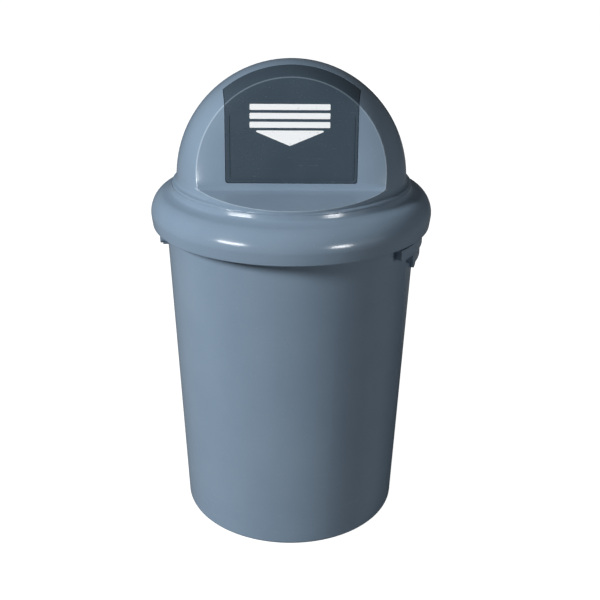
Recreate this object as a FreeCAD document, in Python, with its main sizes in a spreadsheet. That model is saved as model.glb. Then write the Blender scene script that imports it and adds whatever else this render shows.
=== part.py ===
import FreeCAD, Part
import math
import os
import Sketcher

# Round flip lid bin: a tapered tub, a domed lid that lifts off it, and a push flap in the dome.
# Millimetres and degrees. Z is up, the flap faces -Y, and the origin is under the middle of the base.

doc = FreeCAD.newDocument("flip_lid_bin")
sheet = doc.addObject("Spreadsheet::Sheet", "Sizes")

# Driving dimensions: name, value, what it measures.
driving = [
    ("tub_base_radius", 178, "tub outside, where its wall would meet the ground"),
    ("tub_rim_radius", 197.3, "tub outside at the rim"),
    ("tub_height", 512, "ground to the top of the rim"),
    ("tub_wall", 3, "tub wall"),
    ("floor_wall", 3.6, "tub floor"),
    ("floor_rise", 8, "hollow under the floor, inside the foot ring"),
    ("foot_ring_width", 9, "flat ring that the tub stands on"),
    ("foot_slope_width", 8, "slope from the foot ring up to the raised floor"),
    ("base_corner", 6, "round outside corner at the base"),
    ("lip_width", 9, "rim lip beyond the wall"),
    ("lip_drop", 11.5, "rim lip turned down"),
    ("lip_wall", 2.6, "rim lip thickness"),
    ("lip_round", 2, "round top corner of the rim lip"),
    ("collar_overhang", 22.7, "widest part of the lid beyond the rim"),
    ("collar_top_inset", 11.1, "hole in the top of the collar, inside the rim"),
    ("collar_edge_overhang", 12.7, "lower edge of the skirt beyond the rim, outside"),
    ("collar_edge_drop", 16.5, "rim down to the lower edge of the skirt"),
    ("collar_height", 66, "lower edge of the skirt to the top of the collar"),
    ("collar_wall", 2.8, "collar wall"),
    ("throat_inset", 17.2, "hole in the collar to the throat of the lid"),
    ("ledge_wall", 2.8, "ledge that carries the dome"),
    ("ledge_depth", 5, "top of the collar down to the ledge"),
    ("locating_gap", 1.8, "locating ring to the inside of the tub"),
    ("locating_wall", 2.6, "locating ring"),
    ("locating_depth", 12, "locating ring below the rim"),
    ("collar_rib_wall", 1.8, "ribs that rest on the rim"),
    ("collar_rib_reach", 8, "ribs beyond the locating ring"),
    ("collar_rib_count", 12, "ribs that rest on the rim"),
    ("dome_inset", 7.7, "hole in the collar to the outside of the dome"),
    ("dome_centre_rise", 6, "top of the collar to the centre of the dome"),
    ("dome_wall", 3, "dome wall"),
    ("dome_foot_gap", 0.4, "dome foot to the collar, all round"),
    ("foot_wall_height", 0.5, "foot wall above the top of the collar"),
    ("foot_shoulder_width", 2.8, "round shoulder of the dome foot"),
    ("foot_shoulder_height", 3.8, "round shoulder of the dome foot"),
    ("foot_flare_height", 9, "top of the collar to where the foot leaves the dome"),
    ("face_tilt", 16.4, "lean of the flat face, in degrees"),
    ("face_share", 0.636, "dome centre to the flat face, as a share of the dome radius"),
    ("shelf_tilt", 8.2, "slope of the shelf under the face, in degrees"),
    ("shelf_front_height", 6.2, "shelf above the top of the collar, at its front"),
    ("shelf_fillet", 7, "round corner between face and shelf"),
    ("apron_share", 0.925, "wall under the shelf, as a share of the dome radius"),
    ("apron_rise", 17.5, "apron above the dome centre before the shelf is cut"),
    ("crease_width", 1.5, "bevelled crease between face and dome"),
    ("crease_angle", 194, "bevelled crease, in degrees round the face"),
    ("flap_width_share", 0.5305, "half the flap at its lower edge, as a share of the dome radius"),
    ("flap_side_slope", 0.7, "flap side, in degrees off upright"),
    ("flap_draft", 7.2, "draft of the flap edges, in degrees"),
    ("flap_bottom", 12.3, "flap lower edge below the level of the dome centre"),
    ("flap_rear_share", 0.4443, "dome centre to the rear of the flap, as a share of the dome radius"),
    ("flap_corner", 4, "flap lower corners"),
    ("flap_wall", 2.6, "flap wall"),
    ("flap_gap", 0.8, "gap round the flap"),
    ("flap_flange_setback", 5.8, "rear edge of the flap to its flange"),
    ("flap_flange_depth", 18, "flange under the rear of the flap"),
    ("bead_inset", 4.5, "raised border inside the flap edge"),
    ("bead_width", 1.6, "raised border"),
    ("bead_height", 0.6, "raised border"),
    ("rib_wall", 1.8, "ribs behind the flap"),
    ("rib_depth", 7, "ribs behind the flap"),
    ("cheek_wall", 2.6, "side walls behind the flap"),
    ("cheek_drop_share", 0.392, "side walls below the pivot, as a share of the dome radius"),
    ("cheek_reach_share", 0.269, "side walls behind the pivot, as a share of the dome radius"),
    ("cheek_low_turn", 25, "lower end of the round rear of the side walls, in degrees"),
    ("cheek_high_turn", 40, "upper end of the round rear of the side walls, in degrees"),
    ("pivot_share", 0.465, "pivot above the dome centre along the face, as a share of the dome radius"),
    ("pivot_depth", 5.6, "pivot behind the face"),
    ("pin_radius", 2, "hinge pin"),
    ("pin_clearance", 0.08, "hinge pin in its lug, on the radius"),
    ("pin_end_round", 0.8, "hinge pin ends"),
    ("boss_radius", 4.2, "flap boss round the hinge pin"),
    ("boss_length", 9, "flap boss"),
    ("lug_length", 8, "dome lug"),
    ("lug_half_height", 7, "dome lug above and below the pin"),
    ("lug_side_gap", 0.9, "flap boss to dome lug"),
    ("pin_end_reach", 1.2, "hinge pin beyond the lug"),
    ("stop_lip_reach", 5, "stop lip under the rear of the flap"),
    ("stop_lip_wall", 2.6, "stop lip"),
    ("stop_lip_root", 8, "stop lip root under the dome"),
    ("stop_lip_angle", 64, "stop lip, in degrees round the dome"),
    ("hood_screw_count", 5, "screws under the dome"),
    ("hood_boss_radius", 4.5, "screw boss in the dome"),
    ("hood_boss_height", 10, "screw boss in the dome"),
    ("hood_screw_inset", 10.2, "hole in the collar to the circle of screws"),
    ("screw_radius", 2, "screw shank"),
    ("screw_head_radius", 4, "screw head"),
    ("screw_head_height", 2.4, "screw head"),
    ("screw_head_round", 1.2, "screw head edge"),
    ("screw_tip", 1.6, "screw point"),
    ("screw_bite", 9, "screw in its boss"),
    ("screw_hole_gap", 0.3, "screw in a plain hole, on the radius"),
    ("screw_seat_gap", 0.2, "screw head to the curved inside of the tub"),
    ("recess_half_width", 0.5, "cross recess arms"),
    ("recess_reach", 2.2, "cross recess arms"),
    ("recess_depth", 1.2, "cross recess"),
    ("handle_turn", 12, "handles turned from the flap's sides, in degrees"),
    ("handle_top_drop", 22, "rim down to the top of the handles"),
    ("handle_wall", 3, "handle wall"),
    ("handle_seat_gap", 0.15, "handle to tub"),
    ("handle_upper_reach", 12, "upper step beyond the tub at the top of the handle"),
    ("handle_middle_reach", 9.1, "middle step beyond the tub at the top of the handle"),
    ("handle_lower_reach", 3.9, "lower step beyond the tub at the top of the handle"),
    ("handle_upper_drop", 18, "upper step"),
    ("handle_middle_drop", 19, "middle step"),
    ("handle_lower_drop", 16, "lower step"),
    ("handle_upper_angle", 53, "upper step, in degrees round the tub"),
    ("handle_middle_angle", 27, "middle step, in degrees round the tub"),
    ("handle_lower_angle", 13, "lower step, in degrees round the tub"),
    ("handle_corner", 7, "round lower corners of the steps"),
    ("handle_boss_radius", 4.5, "screw boss in a handle"),
    ("handle_screw_angle", 9, "screws either side of a handle's middle, in degrees"),
    ("handle_screw_drop", 9, "top of a handle down to its screws"),
    ("handle_screw_bite", 8, "screw in a handle boss"),
    ("overrun", 20, "how far cuts run past the piece"),
]


class Size:
    # A sheet value, or a sum made of sheet values, as the text of its formula and as a number.
    def __init__(self, text, value):
        self.text = text
        self.value = value

    def __add__(self, other):
        other = size_of(other)
        return Size("(" + self.text + " + " + other.text + ")", self.value + other.value)

    def __sub__(self, other):
        other = size_of(other)
        return Size("(" + self.text + " - " + other.text + ")", self.value - other.value)

    def __mul__(self, other):
        other = size_of(other)
        return Size("(" + self.text + " * " + other.text + ")", self.value * other.value)

    def __truediv__(self, other):
        other = size_of(other)
        return Size("(" + self.text + " / " + other.text + ")", self.value / other.value)

    def __neg__(self):
        return Size("(0 - " + self.text + ")", -self.value)

    __radd__ = __add__
    __rmul__ = __mul__


def size_of(number):
    if isinstance(number, Size):
        return number
    return Size("(" + repr(number) + ")", number)


def sine(angle):
    return Size("sin(" + angle.text + ")", math.sin(math.radians(angle.value)))


def cosine(angle):
    return Size("cos(" + angle.text + ")", math.cos(math.radians(angle.value)))


def root(area):
    return Size("sqrt(" + area.text + ")", math.sqrt(area.value))


class Sheet:
    # The named values of the sheet, read as attributes.
    pass


s = Sheet()
for row, (alias, value, note) in enumerate(driving, 1):
    sheet.set("A" + str(row), note)
    sheet.set("B" + str(row), str(value))
    sheet.setAlias("B" + str(row), alias)
    setattr(s, alias, Size("Sizes." + alias, value))
doc.recompute()

zero = size_of(0)
one = size_of(1)
two = size_of(2)
half_share = size_of(0.5)
diagonal_share = size_of(math.sqrt(0.5))
right_angle = size_of(90)
half_turn = size_of(180)
full_turn = size_of(360)


# Sketch and feature helpers

def new_body(label):
    body = doc.addObject("PartDesign::Body", label)
    body.Label = label
    return body


def origin_plane(body, role):
    for item in body.Origin.OriginFeatures:
        if item.Role == role:
            return item
    raise RuntimeError("no plane " + role)


def new_sketch(body, name, role="XZ_Plane", shift=None, turn=None, turn_axis=(1, 0, 0)):
    # shift is the offset in the plane's own axes, and turn is an angle about one of them.
    sketch = body.newObject("Sketcher::SketchObject", name)
    sketch.AttachmentSupport = [(origin_plane(body, role), "")]
    sketch.MapMode = "FlatFace"
    if turn is not None:
        axis = FreeCAD.Vector(*turn_axis)
        sketch.AttachmentOffset = FreeCAD.Placement(FreeCAD.Vector(), FreeCAD.Rotation(axis, turn.value))
        sketch.setExpression("AttachmentOffset.Rotation.Angle", turn.text)
    if shift is not None:
        for letter, amount in zip("xyz", shift):
            if amount is not zero:
                sketch.setExpression("AttachmentOffset.Base." + letter, amount.text)
    return sketch


def pin_point(sketch, geometry, position, x, y):
    # Fixes a point of the sketch at two sheet values.
    for amount, kind, axis in ((x, "DistanceX", -2), (y, "DistanceY", -1)):
        if amount.value == 0:
            sketch.addConstraint(Sketcher.Constraint("PointOnObject", geometry, position, axis))
            continue
        constraint = Sketcher.Constraint(kind, -1, 1, geometry, position, amount.value)
        index = sketch.addConstraint(constraint)
        sketch.setExpression("Constraints[" + str(index) + "]", amount.text)


class Via:
    # A point that the arc between two corners passes through.
    def __init__(self, x, y):
        self.x = x
        self.y = y


def vector(x, y):
    return FreeCAD.Vector(x.value, y.value, 0)


def end_at(sketch, geometry, x, y):
    # An arc keeps its own sense of start and end, so the end at a corner is looked up.
    if sketch.getPoint(geometry, 1).distanceToPoint(vector(x, y)) < s.pin_clearance.value:
        return 1
    return 2


def draw_outline(sketch, path):
    # A closed outline: corners as (x, y), with a Via where the stretch to the next corner is an arc.
    corners = [item for item in path if not isinstance(item, Via)]
    bends = {}
    seen = 0
    for item in path:
        if isinstance(item, Via):
            bends[seen - 1] = item
        else:
            seen += 1
    edges = []
    for index, (x, y) in enumerate(corners):
        after_x, after_y = corners[(index + 1) % len(corners)]
        start = vector(x, y)
        finish = vector(after_x, after_y)
        bend = bends.get(index)
        if bend is None:
            edges.append(sketch.addGeometry(Part.LineSegment(start, finish), False))
        else:
            edges.append(sketch.addGeometry(Part.Arc(start, vector(bend.x, bend.y), finish), False))
    for index, (x, y) in enumerate(corners):
        before = edges[index - 1]
        edge = edges[index]
        end = end_at(sketch, edge, x, y)
        joined = end_at(sketch, before, x, y)
        sketch.addConstraint(Sketcher.Constraint("Coincident", before, joined, edge, end))
        pin_point(sketch, edge, end, x, y)
    for index, bend in bends.items():
        mark = sketch.addGeometry(Part.Point(vector(bend.x, bend.y)), True)
        pin_point(sketch, mark, 1, bend.x, bend.y)
        sketch.addConstraint(Sketcher.Constraint("PointOnObject", mark, 1, edges[index]))


def draw_circle(sketch, x, y, radius):
    normal = FreeCAD.Vector(0, 0, 1)
    circle = sketch.addGeometry(Part.Circle(vector(x, y), normal, radius.value), False)
    pin_point(sketch, circle, 3, x, y)
    index = sketch.addConstraint(Sketcher.Constraint("Radius", circle, radius.value))
    sketch.setExpression("Constraints[" + str(index) + "]", radius.text)


def box_path(left, low, right, high):
    return [(left, low), (right, low), (right, high), (left, high)]


def add_feature(body, kind, name, sketch, **settings):
    # A feature made from a sketch. Settings that are sizes are bound to the sheet.
    feature = body.newObject("PartDesign::" + kind, name)
    if kind in ("Revolution", "Groove"):
        feature.Profile = (sketch, [""])
        feature.ReferenceAxis = (sketch, [settings.pop("axis", "V_Axis")])
    else:
        feature.Profile = (sketch, [""])
    for key, setting in settings.items():
        if isinstance(setting, Size):
            feature.setExpression(key, setting.text)
        else:
            setattr(feature, key, setting)
    sketch.Visibility = False
    return feature


def revolve(body, name, path, role="XZ_Plane", kind="Revolution", **settings):
    sketch = new_sketch(body, name + "Sketch", role)
    draw_outline(sketch, path)
    return add_feature(body, kind, name, sketch, **settings)


def pattern(body, name, feature, count, role="Z_Axis"):
    polar = body.newObject("PartDesign::PolarPattern", name)
    polar.Originals = [feature]
    polar.Axis = (origin_plane(body, role), [""])
    polar.Angle = full_turn.value
    polar.setExpression("Occurrences", count.text)
    body.Tip = polar
    return polar


def mirror(body, name, features, role="YZ_Plane"):
    copy = body.newObject("PartDesign::Mirrored", name)
    copy.Originals = features
    copy.MirrorPlane = (origin_plane(body, role), [""])
    body.Tip = copy
    return copy


def polar_point(radius, angle):
    return radius * cosine(angle), radius * sine(angle)


# The lid's main sizes follow the rim that it sits on, and the flap's follow the dome.

collar_radius = s.tub_rim_radius + s.collar_overhang
collar_top_radius = s.tub_rim_radius - s.collar_top_inset
collar_edge_radius = s.tub_rim_radius + s.collar_edge_overhang
collar_edge_height = s.tub_height - s.collar_edge_drop
collar_top = collar_edge_height + s.collar_height
ledge_top = collar_top - s.ledge_depth
hood_screw_circle = collar_top_radius - s.hood_screw_inset
dome_radius = collar_top_radius - s.dome_inset
dome_centre_height = collar_top + s.dome_centre_rise
face_distance = dome_radius * s.face_share
flap_half_width = dome_radius * s.flap_width_share
flap_rear_distance = dome_radius * s.flap_rear_share
pivot_height = dome_radius * s.pivot_share
handle_top_height = s.tub_height - s.handle_top_drop


# Places in the dome's tilted frame. Along is up the flat face, out is away from the dome centre.

def tilted_y(along, out):
    return along * sine(s.face_tilt) - out * cosine(s.face_tilt)


def tilted_z(along, out):
    return dome_centre_height + along * cosine(s.face_tilt) + out * sine(s.face_tilt)


def tilted(along, out):
    return tilted_y(along, out), tilted_z(along, out)


def tilted_sketch(body, name, out):
    # A sketch on a plane parallel to the flat face, at a distance from the dome centre.
    shift = (zero, dome_centre_height + out * sine(s.face_tilt), out * cosine(s.face_tilt))
    return new_sketch(body, name, "XZ_Plane", shift, -s.face_tilt)


def along_sphere(radius, out):
    # How far up the tilted frame a sphere about the dome centre reaches at a given distance out.
    return root(radius * radius - out * out)


# Tub

tub_slope = (s.tub_rim_radius - s.tub_base_radius) / s.tub_height


def tub_outside(height):
    return s.tub_base_radius + tub_slope * height


def make_tub():
    body = new_body("bin_body")
    corner = s.base_corner
    ring_outer = s.tub_base_radius - corner
    ring_inner = ring_outer - s.foot_ring_width
    rise_radius = ring_inner - s.foot_slope_width
    floor_top = s.floor_rise + s.floor_wall
    lip_radius = s.tub_rim_radius + s.lip_width
    under_lip = s.tub_height - s.lip_wall
    lip_end = s.tub_height - s.lip_drop
    inner_corner_height = s.floor_wall + corner
    inner_foot = tub_outside(inner_corner_height) - s.tub_wall
    rim_inside = s.tub_rim_radius - s.tub_wall
    round_inset = s.lip_round * (one - diagonal_share)
    path = [
        (zero, s.floor_rise),
        (rise_radius, s.floor_rise),
        (ring_inner, zero),
        (ring_outer, zero),
        Via(ring_outer + corner * diagonal_share, corner - corner * diagonal_share),
        (tub_outside(corner), corner),
        (tub_outside(under_lip), under_lip),
        (lip_radius - s.lip_wall, under_lip),
        (lip_radius - s.lip_wall, lip_end),
        (lip_radius, lip_end),
        (lip_radius, s.tub_height - s.lip_round),
        Via(lip_radius - round_inset, s.tub_height - round_inset),
        (lip_radius - s.lip_round, s.tub_height),
        (rim_inside, s.tub_height),
        (inner_foot, inner_corner_height),
        Via(inner_foot - corner + corner * diagonal_share, inner_corner_height - corner * diagonal_share),
        (inner_foot - corner, s.floor_wall),
        (ring_inner + half_share * s.floor_wall, s.floor_wall),
        (rise_radius + half_share * s.floor_wall, floor_top),
        (zero, floor_top),
    ]
    revolve(body, "TubWall", path)
    cut_handle_holes(body)
    return body


# The shapes of the lid share one curve from the top of the collar out to its skirt.
# Shares of the way out from the top radius to the widest radius, and up from the skirt edge to the top.
collar_shares = {
    "hollow": (0.019, 0.964),
    "slope_start": (0.071, 0.938),
    "slope_end": (0.541, 0.774),
    "shoulder": (0.772, 0.664),
    "wall_start": (0.923, 0.523),
    "wall": (0.988, 0.380),
    "belly": (1.0, 0.235),
    "tuck": (0.911, 0.097),
}


def collar_point(name, top_radius, wide_radius, low, high):
    out_share, up_share = collar_shares[name]
    x = top_radius + (wide_radius - top_radius) * size_of(out_share)
    y = low + (high - low) * size_of(up_share)
    return x, y


def collar_curve(inset, drop):
    # From the top edge down to the skirt edge. The inset moves the curve in, the drop lowers its top.
    top = collar_top_radius
    wide = collar_radius - inset
    low = collar_edge_height
    high = low + s.collar_height - drop

    def at(name):
        return collar_point(name, top, wide, low, high)

    return [
        (top, high),
        Via(*at("hollow")),
        at("slope_start"),
        at("slope_end"),
        Via(*at("shoulder")),
        at("wall_start"),
        Via(*at("wall")),
        at("belly"),
        Via(*at("tuck")),
        (collar_edge_radius - inset, low),
    ]


wall_drop_share = size_of(1.2)
curb_low_share = size_of(1.6)
curb_high_share = size_of(0.6)


def make_collar():
    body = new_body("lid_collar")
    outside = collar_curve(zero, zero)
    inside = collar_curve(s.collar_wall, s.collar_wall * wall_drop_share)
    revolve(body, "Skin", outside + inside[::-1])

    ledge_low = ledge_top - s.ledge_wall
    throat = collar_top_radius - s.throat_inset
    curb = collar_top_radius + s.collar_wall * half_share
    ledge = [
        (throat, ledge_low),
        (curb, ledge_low),
        (curb, collar_top - s.collar_wall * curb_low_share),
        (collar_top_radius, collar_top - s.collar_wall * curb_high_share),
        (collar_top_radius, ledge_top),
        (throat, ledge_top),
    ]
    revolve(body, "Ledge", ledge)

    ring_outer = s.tub_rim_radius - s.tub_wall - s.locating_gap
    ring_inner = ring_outer - s.locating_wall
    ring_low = s.tub_height - s.locating_depth
    revolve(body, "LocatingRing", box_path(ring_inner, ring_low, ring_outer, ledge_low))

    middle = collar_curve(s.collar_wall * half_share, s.collar_wall * half_share * wall_drop_share)
    start_x, start_z = middle[2]
    end_x, end_z = middle[3]
    root_x = ring_outer - s.locating_wall * half_share
    reach_x = ring_outer + s.collar_rib_reach
    reach_z = start_z + (end_z - start_z) * (reach_x - start_x) / (end_x - start_x)
    rib = [
        (root_x, s.tub_height),
        (reach_x, s.tub_height),
        (reach_x, reach_z),
        (start_x, start_z),
        (root_x, start_z),
    ]
    # The first rib stands half a step off the seam of the revolved faces.
    turn = full_turn / s.collar_rib_count * half_share
    sketch = new_sketch(body, "RibSketch", "XZ_Plane", None, turn, (0, 1, 0))
    draw_outline(sketch, rib)
    feature = add_feature(body, "Pad", "Rib", sketch, Length=s.collar_rib_wall, Midplane=True)
    pattern(body, "Ribs", feature, s.collar_rib_count)

    sketch = new_sketch(body, "ScrewHoleSketch", "XY_Plane", (zero, zero, ledge_low - s.overrun))
    draw_circle(sketch, zero, hood_screw_circle, s.screw_radius + s.screw_hole_gap)
    depth = s.overrun + s.overrun
    hole = add_feature(body, "Pocket", "ScrewHole", sketch, Length=depth, Reversed=True)
    pattern(body, "ScrewHoles", hole, s.hood_screw_count)
    return body


# Dome

def wedge_path(setback):
    # The space in front of the face and above the shelf, moved back and down by a wall.
    face_out = face_distance - setback
    fillet = s.shelf_fillet + setback
    front_y = -(collar_top_radius)
    front_z = collar_top + s.shelf_front_height
    cos_shelf = cosine(s.shelf_tilt)
    sin_shelf = sine(s.shelf_tilt)
    # The shelf line passes below its outside line by the wall.
    shelf_y = front_y + setback * sin_shelf
    shelf_z = front_z - setback * cos_shelf
    # Centre of the round corner: one radius in front of the face and one above the shelf.
    between = s.shelf_tilt + s.face_tilt
    centre_out = face_out + fillet
    start_y, start_z = tilted(zero, centre_out)
    lift = shelf_z - start_z
    step = shelf_y - start_y
    height_off = lift * cos_shelf - step * sin_shelf + fillet
    along = height_off / cosine(between)
    centre_y, centre_z = tilted(along, centre_out)
    face_y, face_z = tilted(along, face_out)
    foot_y = centre_y + fillet * sin_shelf
    foot_z = centre_z - fillet * cos_shelf
    middle_angle = (s.shelf_tilt - right_angle - s.face_tilt) / two
    middle_y = centre_y + fillet * cosine(middle_angle)
    middle_z = centre_z + fillet * sine(middle_angle)
    reach = dome_radius + s.overrun
    far_y, far_z = tilted(reach, face_out)
    end_y = foot_y - reach * cos_shelf
    end_z = foot_z - reach * sin_shelf
    return [
        (far_y, far_z),
        (face_y, face_z),
        Via(middle_y, middle_z),
        (foot_y, foot_z),
        (end_y, end_z),
        (end_y, far_z),
    ]


flare_out_share = size_of(0.33)
flare_up_share = size_of(0.4)


def dome_path(inset):
    # Half section of the solid dome with its round-shouldered foot, or of the space inside it.
    radius = dome_radius - inset
    foot = collar_top_radius - s.dome_foot_gap - inset
    wall_top = collar_top + s.foot_wall_height - inset
    shoulder = foot - s.foot_shoulder_width
    shoulder_top = wall_top + s.foot_shoulder_height
    bend_x = s.foot_shoulder_width * (one - diagonal_share)
    bend_z = s.foot_shoulder_height * (one - diagonal_share)
    flare_top = collar_top + s.foot_flare_height - inset
    rise = flare_top - dome_centre_height
    flare_end = root(radius * radius - rise * rise)
    hollow = flare_end + (shoulder - flare_end) * flare_out_share
    hollow_z = shoulder_top + (flare_top - shoulder_top) * flare_up_share
    low = ledge_top - (s.overrun if inset is not zero else zero)
    upper = radius * diagonal_share
    return [
        (zero, low),
        (foot, low),
        (foot, wall_top),
        Via(foot - bend_x, shoulder_top - bend_z),
        (shoulder, shoulder_top),
        Via(hollow, hollow_z),
        (flare_end, flare_top),
        Via(upper, dome_centre_height + upper),
        (zero, dome_centre_height + radius),
    ]


def dome_solid(body, inset):
    revolve(body, "Dome", dome_path(inset))
    # The apron under the shelf is a round wall of its own, which comes forward as far as the foot.
    radius = dome_radius * s.apron_share - inset
    forward = collar_top_radius - s.dome_foot_gap - dome_radius * s.apron_share
    low = ledge_top - (s.overrun if inset is not zero else zero)
    sketch = new_sketch(body, "ApronSketch", "XY_Plane", (zero, zero, low))
    draw_circle(sketch, zero, -forward, radius)
    add_feature(body, "Pad", "Apron", sketch, Length=dome_centre_height + s.apron_rise - inset - low)
    sketch = new_sketch(body, "WedgeSketch", "YZ_Plane")
    draw_outline(sketch, wedge_path(inset))
    width = (dome_radius + s.overrun) * two
    return add_feature(body, "Pocket", "Wedge", sketch, Length=width, Midplane=True)


def flap_outline(gap, out):
    # The flap's outline on a plane at a distance from the dome centre, wider towards the rear.
    spread = (face_distance - out) * sine(s.flap_draft) / cosine(s.flap_draft)
    low = -(s.flap_bottom + gap + spread)
    half = flap_half_width + gap + spread
    high = dome_radius + s.overrun
    slope = sine(s.flap_side_slope) / cosine(s.flap_side_slope)
    corner = s.flap_corner
    half_high = half + slope * (high - low - corner)
    bend = corner * (one - diagonal_share)
    return [
        (-half_high, high),
        (-half, low + corner),
        Via(-(half - bend), low + bend),
        (-(half - corner), low),
        (half - corner, low),
        Via(half - bend, low + bend),
        (half, low + corner),
        (half_high, high),
    ]


pivot_out = face_distance - s.pivot_depth
pivot_y, pivot_z = tilted(pivot_height, pivot_out)
flap_side_at_pivot = flap_half_width + (pivot_height + s.flap_bottom) * sine(s.flap_side_slope) \
    + s.pivot_depth * sine(s.flap_draft)
lug_start = flap_side_at_pivot + s.flap_gap
lug_end = lug_start + s.lug_length
boss_end = lug_start - s.lug_side_gap
boss_start = boss_end - s.boss_length


def make_hood():
    cavity = new_body("hood_cavity")
    dome_solid(cavity, s.dome_wall)
    body = new_body("dome_hood")
    dome_solid(body, zero)
    bevel_crease(body)
    cut = body.newObject("PartDesign::Boolean", "Hollow")
    cut.setObjects([cavity])
    cut.Type = "Cut"
    doc.recompute()

    loft_outline(body, "SubtractiveLoft", "Opening", s.flap_gap)
    add_hood_lugs(body)
    add_hood_lip(body)
    add_hood_bosses(body)
    return body


def crease_marks():
    # The bevelled crease in the tilted frame: where it leaves the face and where it meets the dome.
    meet_out = face_distance - s.crease_width * half_share
    leave = (along_sphere(dome_radius, face_distance) - s.crease_width * half_share, face_distance)
    meet = (along_sphere(dome_radius, meet_out), meet_out)
    return leave, meet


def bevel_crease(body):
    # Takes the edge off between the flat face and the dome, as far down as the shelf.
    leave, meet = crease_marks()
    clear = s.crease_width
    path = [
        tilted(*leave),
        tilted(leave[0], leave[1] + clear),
        tilted(meet[0] + clear, leave[1] + clear),
        tilted(meet[0] + clear, meet[1]),
        tilted(*meet),
    ]
    sketch = new_sketch(body, "CreaseSketch", "YZ_Plane")
    draw_outline(sketch, path)
    axis = axis_line(sketch)
    add_feature(body, "Groove", "Crease", sketch, axis=axis, Angle=s.crease_angle, Midplane=True)


def loft_outline(body, kind, name, gap):
    # The flap's outline swept from its rear plane to clear of the face.
    rear_out = flap_rear_distance - gap
    front_out = dome_radius
    rear = tilted_sketch(body, name + "Rear", rear_out)
    draw_outline(rear, flap_outline(gap, rear_out))
    front = tilted_sketch(body, name + "Front", front_out)
    draw_outline(front, flap_outline(gap, front_out))
    loft = add_feature(body, kind, name, rear, Ruled=True)
    loft.Sections = [(front, [""])]
    front.Visibility = False
    return loft


def add_hood_lugs(body):
    # A lug each side of the opening, behind the face, with a bore for the hinge pin.
    half = s.lug_half_height
    block = [
        tilted(pivot_height - half, face_distance - s.dome_wall * half_share),
        tilted(pivot_height - half, pivot_out),
        Via(*tilted(pivot_height, pivot_out - half)),
        tilted(pivot_height + half, pivot_out),
        tilted(pivot_height + half, face_distance - s.dome_wall * half_share),
    ]
    sketch = new_sketch(body, "LugSketch", "YZ_Plane", (zero, zero, lug_start))
    draw_outline(sketch, block)
    lug = add_feature(body, "Pad", "Lug", sketch, Length=s.lug_length)
    mirror(body, "Lugs", [lug])
    sketch = new_sketch(body, "PinBoreSketch", "YZ_Plane")
    draw_circle(sketch, pivot_y, pivot_z, s.pin_radius + s.pin_clearance)
    width = (lug_end + s.pin_end_reach) * two
    add_feature(body, "Pocket", "PinBore", sketch, Length=width, Midplane=True)


def add_hood_lip(body):
    # A lip under the rear edge of the opening, which the flap comes to rest on.
    inner = dome_radius - s.dome_wall
    root_out = flap_rear_distance - s.stop_lip_root
    front_out = flap_rear_distance + s.stop_lip_reach
    middle_out = (root_out + front_out) * half_share
    lip_inner = inner - s.stop_lip_wall
    lip_outer = inner
    path = [
        tilted(along_sphere(lip_inner, root_out), root_out),
        Via(*tilted(along_sphere(lip_inner, middle_out), middle_out)),
        tilted(along_sphere(lip_inner, front_out), front_out),
        tilted(along_sphere(lip_outer, front_out), front_out),
        Via(*tilted(along_sphere(lip_outer, middle_out), middle_out)),
        tilted(along_sphere(lip_outer, root_out), root_out),
    ]
    sketch = new_sketch(body, "StopLipSketch", "YZ_Plane")
    draw_outline(sketch, path)
    axis = axis_line(sketch)
    add_feature(body, "Revolution", "StopLip", sketch, axis=axis, Angle=s.stop_lip_angle, Midplane=True)


def axis_line(sketch):
    # A construction line from the dome centre straight out through the middle of the face.
    out_y, out_z = tilted(zero, face_distance)
    line = Part.LineSegment(vector(zero, dome_centre_height), vector(out_y, out_z))
    index = sketch.addGeometry(line, True)
    pin_point(sketch, index, 1, zero, dome_centre_height)
    pin_point(sketch, index, 2, out_y, out_z)
    marks = [item for item in range(index + 1) if sketch.getConstruction(item)]
    lines = [item for item in marks if "Line" in sketch.Geometry[item].TypeId]
    return "Axis" + str(lines.index(index))


def add_hood_bosses(body):
    sketch = new_sketch(body, "BossSketch", "XY_Plane", (zero, zero, ledge_top))
    draw_circle(sketch, zero, hood_screw_circle, s.hood_boss_radius)
    boss = add_feature(body, "Pad", "Boss", sketch, Length=s.hood_boss_height)
    pattern(body, "Bosses", boss, s.hood_screw_count)
    sketch = new_sketch(body, "PilotSketch", "XY_Plane", (zero, zero, ledge_top))
    draw_circle(sketch, zero, hood_screw_circle, s.screw_radius)
    pilot = add_feature(body, "Pocket", "Pilot", sketch, Length=s.screw_bite, Reversed=True)
    pattern(body, "Pilots", pilot, s.hood_screw_count)


def make_screw(label, length):
    # A pan head screw along +Z, with its head's seat at the origin.
    body = new_body(label)
    head_round = s.screw_head_round
    bend = head_round * (one - diagonal_share)
    path = [
        (zero, -s.screw_head_height),
        (s.screw_head_radius - head_round, -s.screw_head_height),
        Via(s.screw_head_radius - bend, bend - s.screw_head_height),
        (s.screw_head_radius, head_round - s.screw_head_height),
        (s.screw_head_radius, zero),
        (s.screw_radius, zero),
        (s.screw_radius, length - s.screw_tip),
        (zero, length),
    ]
    revolve(body, "ScrewForm", path)
    sketch = new_sketch(body, "RecessSketch", "XY_Plane", (zero, zero, -s.screw_head_height))
    wide = s.recess_half_width
    far = s.recess_reach
    cross = [
        (far, -wide), (far, wide), (wide, wide), (wide, far),
        (-wide, far), (-wide, wide), (-far, wide), (-far, -wide),
        (-wide, -wide), (-wide, -far), (wide, -far), (wide, -wide),
    ]
    draw_outline(sketch, cross)
    add_feature(body, "Pocket", "Recess", sketch, Length=s.recess_depth, Reversed=True)
    return body


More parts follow.
